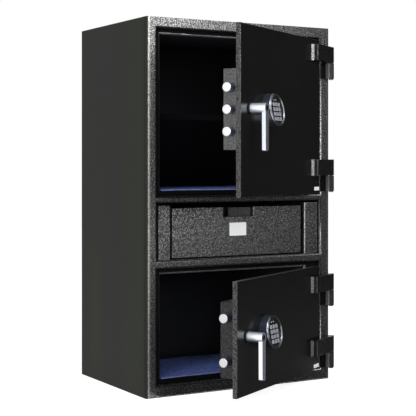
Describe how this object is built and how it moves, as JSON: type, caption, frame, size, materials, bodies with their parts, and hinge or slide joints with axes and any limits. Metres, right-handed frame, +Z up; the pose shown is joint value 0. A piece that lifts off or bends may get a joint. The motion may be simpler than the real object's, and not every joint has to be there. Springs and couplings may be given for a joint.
{
  "type": "drop safe with deposit drawer",
  "caption": "Two-compartment floor safe with a deposit drawer between the compartments, block-hinged doors, lever handles and round keypads.",
  "frame": {"origin": "middle of the flat underside of the body, between its sides and between its front face and its back", "axes": "+X to the right as seen from the front, +Y towards the back, +Z up"},
  "size_m": [0.5909, 0.7098, 0.99],
  "materials": {
    "smooth_black": "satin powder coat, fine even grain",
    "textured_black": "hammered powder coat with light and dark speckle",
    "inner_black": "matt black paint",
    "fire_filling": "cast mineral filling, hidden",
    "blue_felt": "needle felt",
    "bright_plating": "polished plating",
    "bolt_steel": "ground bright steel",
    "plated_steel": "zinc plated sheet",
    "keypad_shell": "plated shell with a black face",
    "handle_base": "black moulded ring",
    "key_caps": "grey rubbery keys",
    "bare_plate": "bare pale plate"
  },
  "bodies": {
    "safe_body": {"outer_shell": "smooth_black", "front_frame": "textured_black", "insulation_fill": "fire_filling", "upper_liner": "inner_black", "lower_liner": "inner_black", "drawer_bay_liner": "inner_black", "upper_shelf": "inner_black", "upper_mat": "blue_felt", "lower_mat": "blue_felt", "left_drawer_housing": "textured_black", "right_drawer_housing": "textured_black", "upper_door_top_hinge_block": "textured_black", "upper_door_bottom_hinge_block": "textured_black", "lower_door_top_hinge_block": "textured_black", "lower_door_bottom_hinge_block": "textured_black"},
    "drawer": {"drawer_front": "textured_black", "drawer_tray": "inner_black", "anti_fish_baffle": "plated_steel"},
    "upper_door": {"upper_door_plate": "smooth_black", "upper_door_top_strap": "textured_black", "upper_door_bottom_strap": "textured_black", "upper_boltwork_cover": "textured_black", "upper_lock_body": "plated_steel", "upper_handle_rose": "handle_base", "upper_keypad_housing": "keypad_shell"},
    "upper_handle": {"upper_lever_handle": "bright_plating"},
    "upper_bolts": {"upper_bolt_bar": "bolt_steel"},
    "upper_key_1": {"upper_key_1": "key_caps"},
    "upper_key_2": {"upper_key_2": "key_caps"},
    "upper_key_3": {"upper_key_3": "key_caps"},
    "upper_key_4": {"upper_key_4": "key_caps"},
    "upper_key_5": {"upper_key_5": "key_caps"},
    "upper_key_6": {"upper_key_6": "key_caps"},
    "upper_key_7": {"upper_key_7": "key_caps"},
    "upper_key_8": {"upper_key_8": "key_caps"},
    "upper_key_9": {"upper_key_9": "key_caps"},
    "upper_key_10": {"upper_key_10": "key_caps"},
    "upper_key_11": {"upper_key_11": "key_caps"},
    "upper_key_12": {"upper_key_12": "key_caps"},
    "lower_door": {"lower_door_plate": "smooth_black", "lower_door_top_strap": "textured_black", "lower_door_bottom_strap": "textured_black", "lower_boltwork_cover": "textured_black", "lower_lock_body": "plated_steel", "lower_handle_rose": "handle_base", "lower_keypad_housing": "keypad_shell"},
    "lower_handle": {"lower_lever_handle": "bright_plating"},
    "lower_bolts": {"lower_bolt_bar": "bolt_steel"},
    "lower_key_1": {"lower_key_1": "key_caps"},
    "lower_key_2": {"lower_key_2": "key_caps"},
    "lower_key_3": {"lower_key_3": "key_caps"},
    "lower_key_4": {"lower_key_4": "key_caps"},
    "lower_key_5": {"lower_key_5": "key_caps"},
    "lower_key_6": {"lower_key_6": "key_caps"},
    "lower_key_7": {"lower_key_7": "key_caps"},
    "lower_key_8": {"lower_key_8": "key_caps"},
    "lower_key_9": {"lower_key_9": "key_caps"},
    "lower_key_10": {"lower_key_10": "key_caps"},
    "lower_key_11": {"lower_key_11": "key_caps"},
    "lower_key_12": {"lower_key_12": "key_caps"}
  },
  "joints": [
    {"name": "drawer_slide", "type": "slide", "parent": "safe_body", "child": "drawer", "axis": [0, -1, 0], "range_m": [0, 0.2]},
    {"name": "upper_door_hinge", "type": "hinge", "parent": "safe_body", "child": "upper_door", "pos_m": [0.2905, -0.2117, 0.7445], "axis": [0, 0, 1], "range_deg": [-31.5, 88.5]},
    {"name": "upper_handle_turn", "type": "hinge", "parent": "upper_door", "child": "upper_handle", "pos_m": [-0.12985, -0.46929, 0.7445], "axis": [-0.5225, 0.8526, 0], "range_deg": [0, 90]},
    {"name": "upper_bolts_slide", "type": "slide", "parent": "upper_door", "child": "upper_bolts", "axis": [0.8526, 0.5225, 0], "range_m": [0, 0.023]},
    {"name": "upper_key_1_press", "type": "slide", "parent": "upper_door", "child": "upper_key_1", "axis": [-0.5161, 0.8421, -0.1564], "range_m": [0, 0.001], "stiffness_N_per_m": 300},
    {"name": "upper_key_2_press", "type": "slide", "parent": "upper_door", "child": "upper_key_2", "axis": [-0.5161, 0.8421, -0.1564], "range_m": [0, 0.001], "stiffness_N_per_m": 300},
    {"name": "upper_key_3_press", "type": "slide", "parent": "upper_door", "child": "upper_key_3", "axis": [-0.5161, 0.8421, -0.1564], "range_m": [0, 0.001], "stiffness_N_per_m": 300},
    {"name": "upper_key_4_press", "type": "slide", "parent": "upper_door", "child": "upper_key_4", "axis": [-0.5161, 0.8421, -0.1564], "range_m": [0, 0.001], "stiffness_N_per_m": 300},
    {"name": "upper_key_5_press", "type": "slide", "parent": "upper_door", "child": "upper_key_5", "axis": [-0.5161, 0.8421, -0.1564], "range_m": [0, 0.001], "stiffness_N_per_m": 300},
    {"name": "upper_key_6_press", "type": "slide", "parent": "upper_door", "child": "upper_key_6", "axis": [-0.5161, 0.8421, -0.1564], "range_m": [0, 0.001], "stiffness_N_per_m": 300},
    {"name": "upper_key_7_press", "type": "slide", "parent": "upper_door", "child": "upper_key_7", "axis": [-0.5161, 0.8421, -0.1564], "range_m": [0, 0.001], "stiffness_N_per_m": 300},
    {"name": "upper_key_8_press", "type": "slide", "parent": "upper_door", "child": "upper_key_8", "axis": [-0.5161, 0.8421, -0.1564], "range_m": [0, 0.001], "stiffness_N_per_m": 300},
    {"name": "upper_key_9_press", "type": "slide", "parent": "upper_door", "child": "upper_key_9", "axis": [-0.5161, 0.8421, -0.1564], "range_m": [0, 0.001], "stiffness_N_per_m": 300},
    {"name": "upper_key_10_press", "type": "slide", "parent": "upper_door", "child": "upper_key_10", "axis": [-0.5161, 0.8421, -0.1564], "range_m": [0, 0.001], "stiffness_N_per_m": 300},
    {"name": "upper_key_11_press", "type": "slide", "parent": "upper_door", "child": "upper_key_11", "axis": [-0.5161, 0.8421, -0.1564], "range_m": [0, 0.001], "stiffness_N_per_m": 300},
    {"name": "upper_key_12_press", "type": "slide", "parent": "upper_door", "child": "upper_key_12", "axis": [-0.5161, 0.8421, -0.1564], "range_m": [0, 0.001], "stiffness_N_per_m": 300},
    {"name": "lower_door_hinge", "type": "hinge", "parent": "safe_body", "child": "lower_door", "pos_m": [0.2905, -0.2117, 0.184], "axis": [0, 0, 1], "range_deg": [-30.5, 89.5]},
    {"name": "lower_handle_turn", "type": "hinge", "parent": "lower_door", "child": "lower_handle", "pos_m": [-0.13428, -0.46192, 0.184], "axis": [-0.5075, 0.8616, 0], "range_deg": [0, 90]},
    {"name": "lower_bolts_slide", "type": "slide", "parent": "lower_door", "child": "lower_bolts", "axis": [0.8616, 0.5075, 0], "range_m": [0, 0.023]},
    {"name": "lower_key_1_press", "type": "slide", "parent": "lower_door", "child": "lower_key_1", "axis": [-0.5013, 0.851, -0.1564], "range_m": [0, 0.001], "stiffness_N_per_m": 300},
    {"name": "lower_key_2_press", "type": "slide", "parent": "lower_door", "child": "lower_key_2", "axis": [-0.5013, 0.851, -0.1564], "range_m": [0, 0.001], "stiffness_N_per_m": 300},
    {"name": "lower_key_3_press", "type": "slide", "parent": "lower_door", "child": "lower_key_3", "axis": [-0.5013, 0.851, -0.1564], "range_m": [0, 0.001], "stiffness_N_per_m": 300},
    {"name": "lower_key_4_press", "type": "slide", "parent": "lower_door", "child": "lower_key_4", "axis": [-0.5013, 0.851, -0.1564], "range_m": [0, 0.001], "stiffness_N_per_m": 300},
    {"name": "lower_key_5_press", "type": "slide", "parent": "lower_door", "child": "lower_key_5", "axis": [-0.5013, 0.851, -0.1564], "range_m": [0, 0.001], "stiffness_N_per_m": 300},
    {"name": "lower_key_6_press", "type": "slide", "parent": "lower_door", "child": "lower_key_6", "axis": [-0.5013, 0.851, -0.1564], "range_m": [0, 0.001], "stiffness_N_per_m": 300},
    {"name": "lower_key_7_press", "type": "slide", "parent": "lower_door", "child": "lower_key_7", "axis": [-0.5013, 0.851, -0.1564], "range_m": [0, 0.001], "stiffness_N_per_m": 300},
    {"name": "lower_key_8_press", "type": "slide", "parent": "lower_door", "child": "lower_key_8", "axis": [-0.5013, 0.851, -0.1564], "range_m": [0, 0.001], "stiffness_N_per_m": 300},
    {"name": "lower_key_9_press", "type": "slide", "parent": "lower_door", "child": "lower_key_9", "axis": [-0.5013, 0.851, -0.1564], "range_m": [0, 0.001], "stiffness_N_per_m": 300},
    {"name": "lower_key_10_press", "type": "slide", "parent": "lower_door", "child": "lower_key_10", "axis": [-0.5013, 0.851, -0.1564], "range_m": [0, 0.001], "stiffness_N_per_m": 300},
    {"name": "lower_key_11_press", "type": "slide", "parent": "lower_door", "child": "lower_key_11", "axis": [-0.5013, 0.851, -0.1564], "range_m": [0, 0.001], "stiffness_N_per_m": 300},
    {"name": "lower_key_12_press", "type": "slide", "parent": "lower_door", "child": "lower_key_12", "axis": [-0.5013, 0.851, -0.1564], "range_m": [0, 0.001], "stiffness_N_per_m": 300}
  ],
  "couplings": [
    {"joint": "upper_bolts_slide", "follows": "upper_handle_turn", "m_per_rad": 0.014642},
    {"joint": "lower_bolts_slide", "follows": "lower_handle_turn", "m_per_rad": 0.014642}
  ]
}
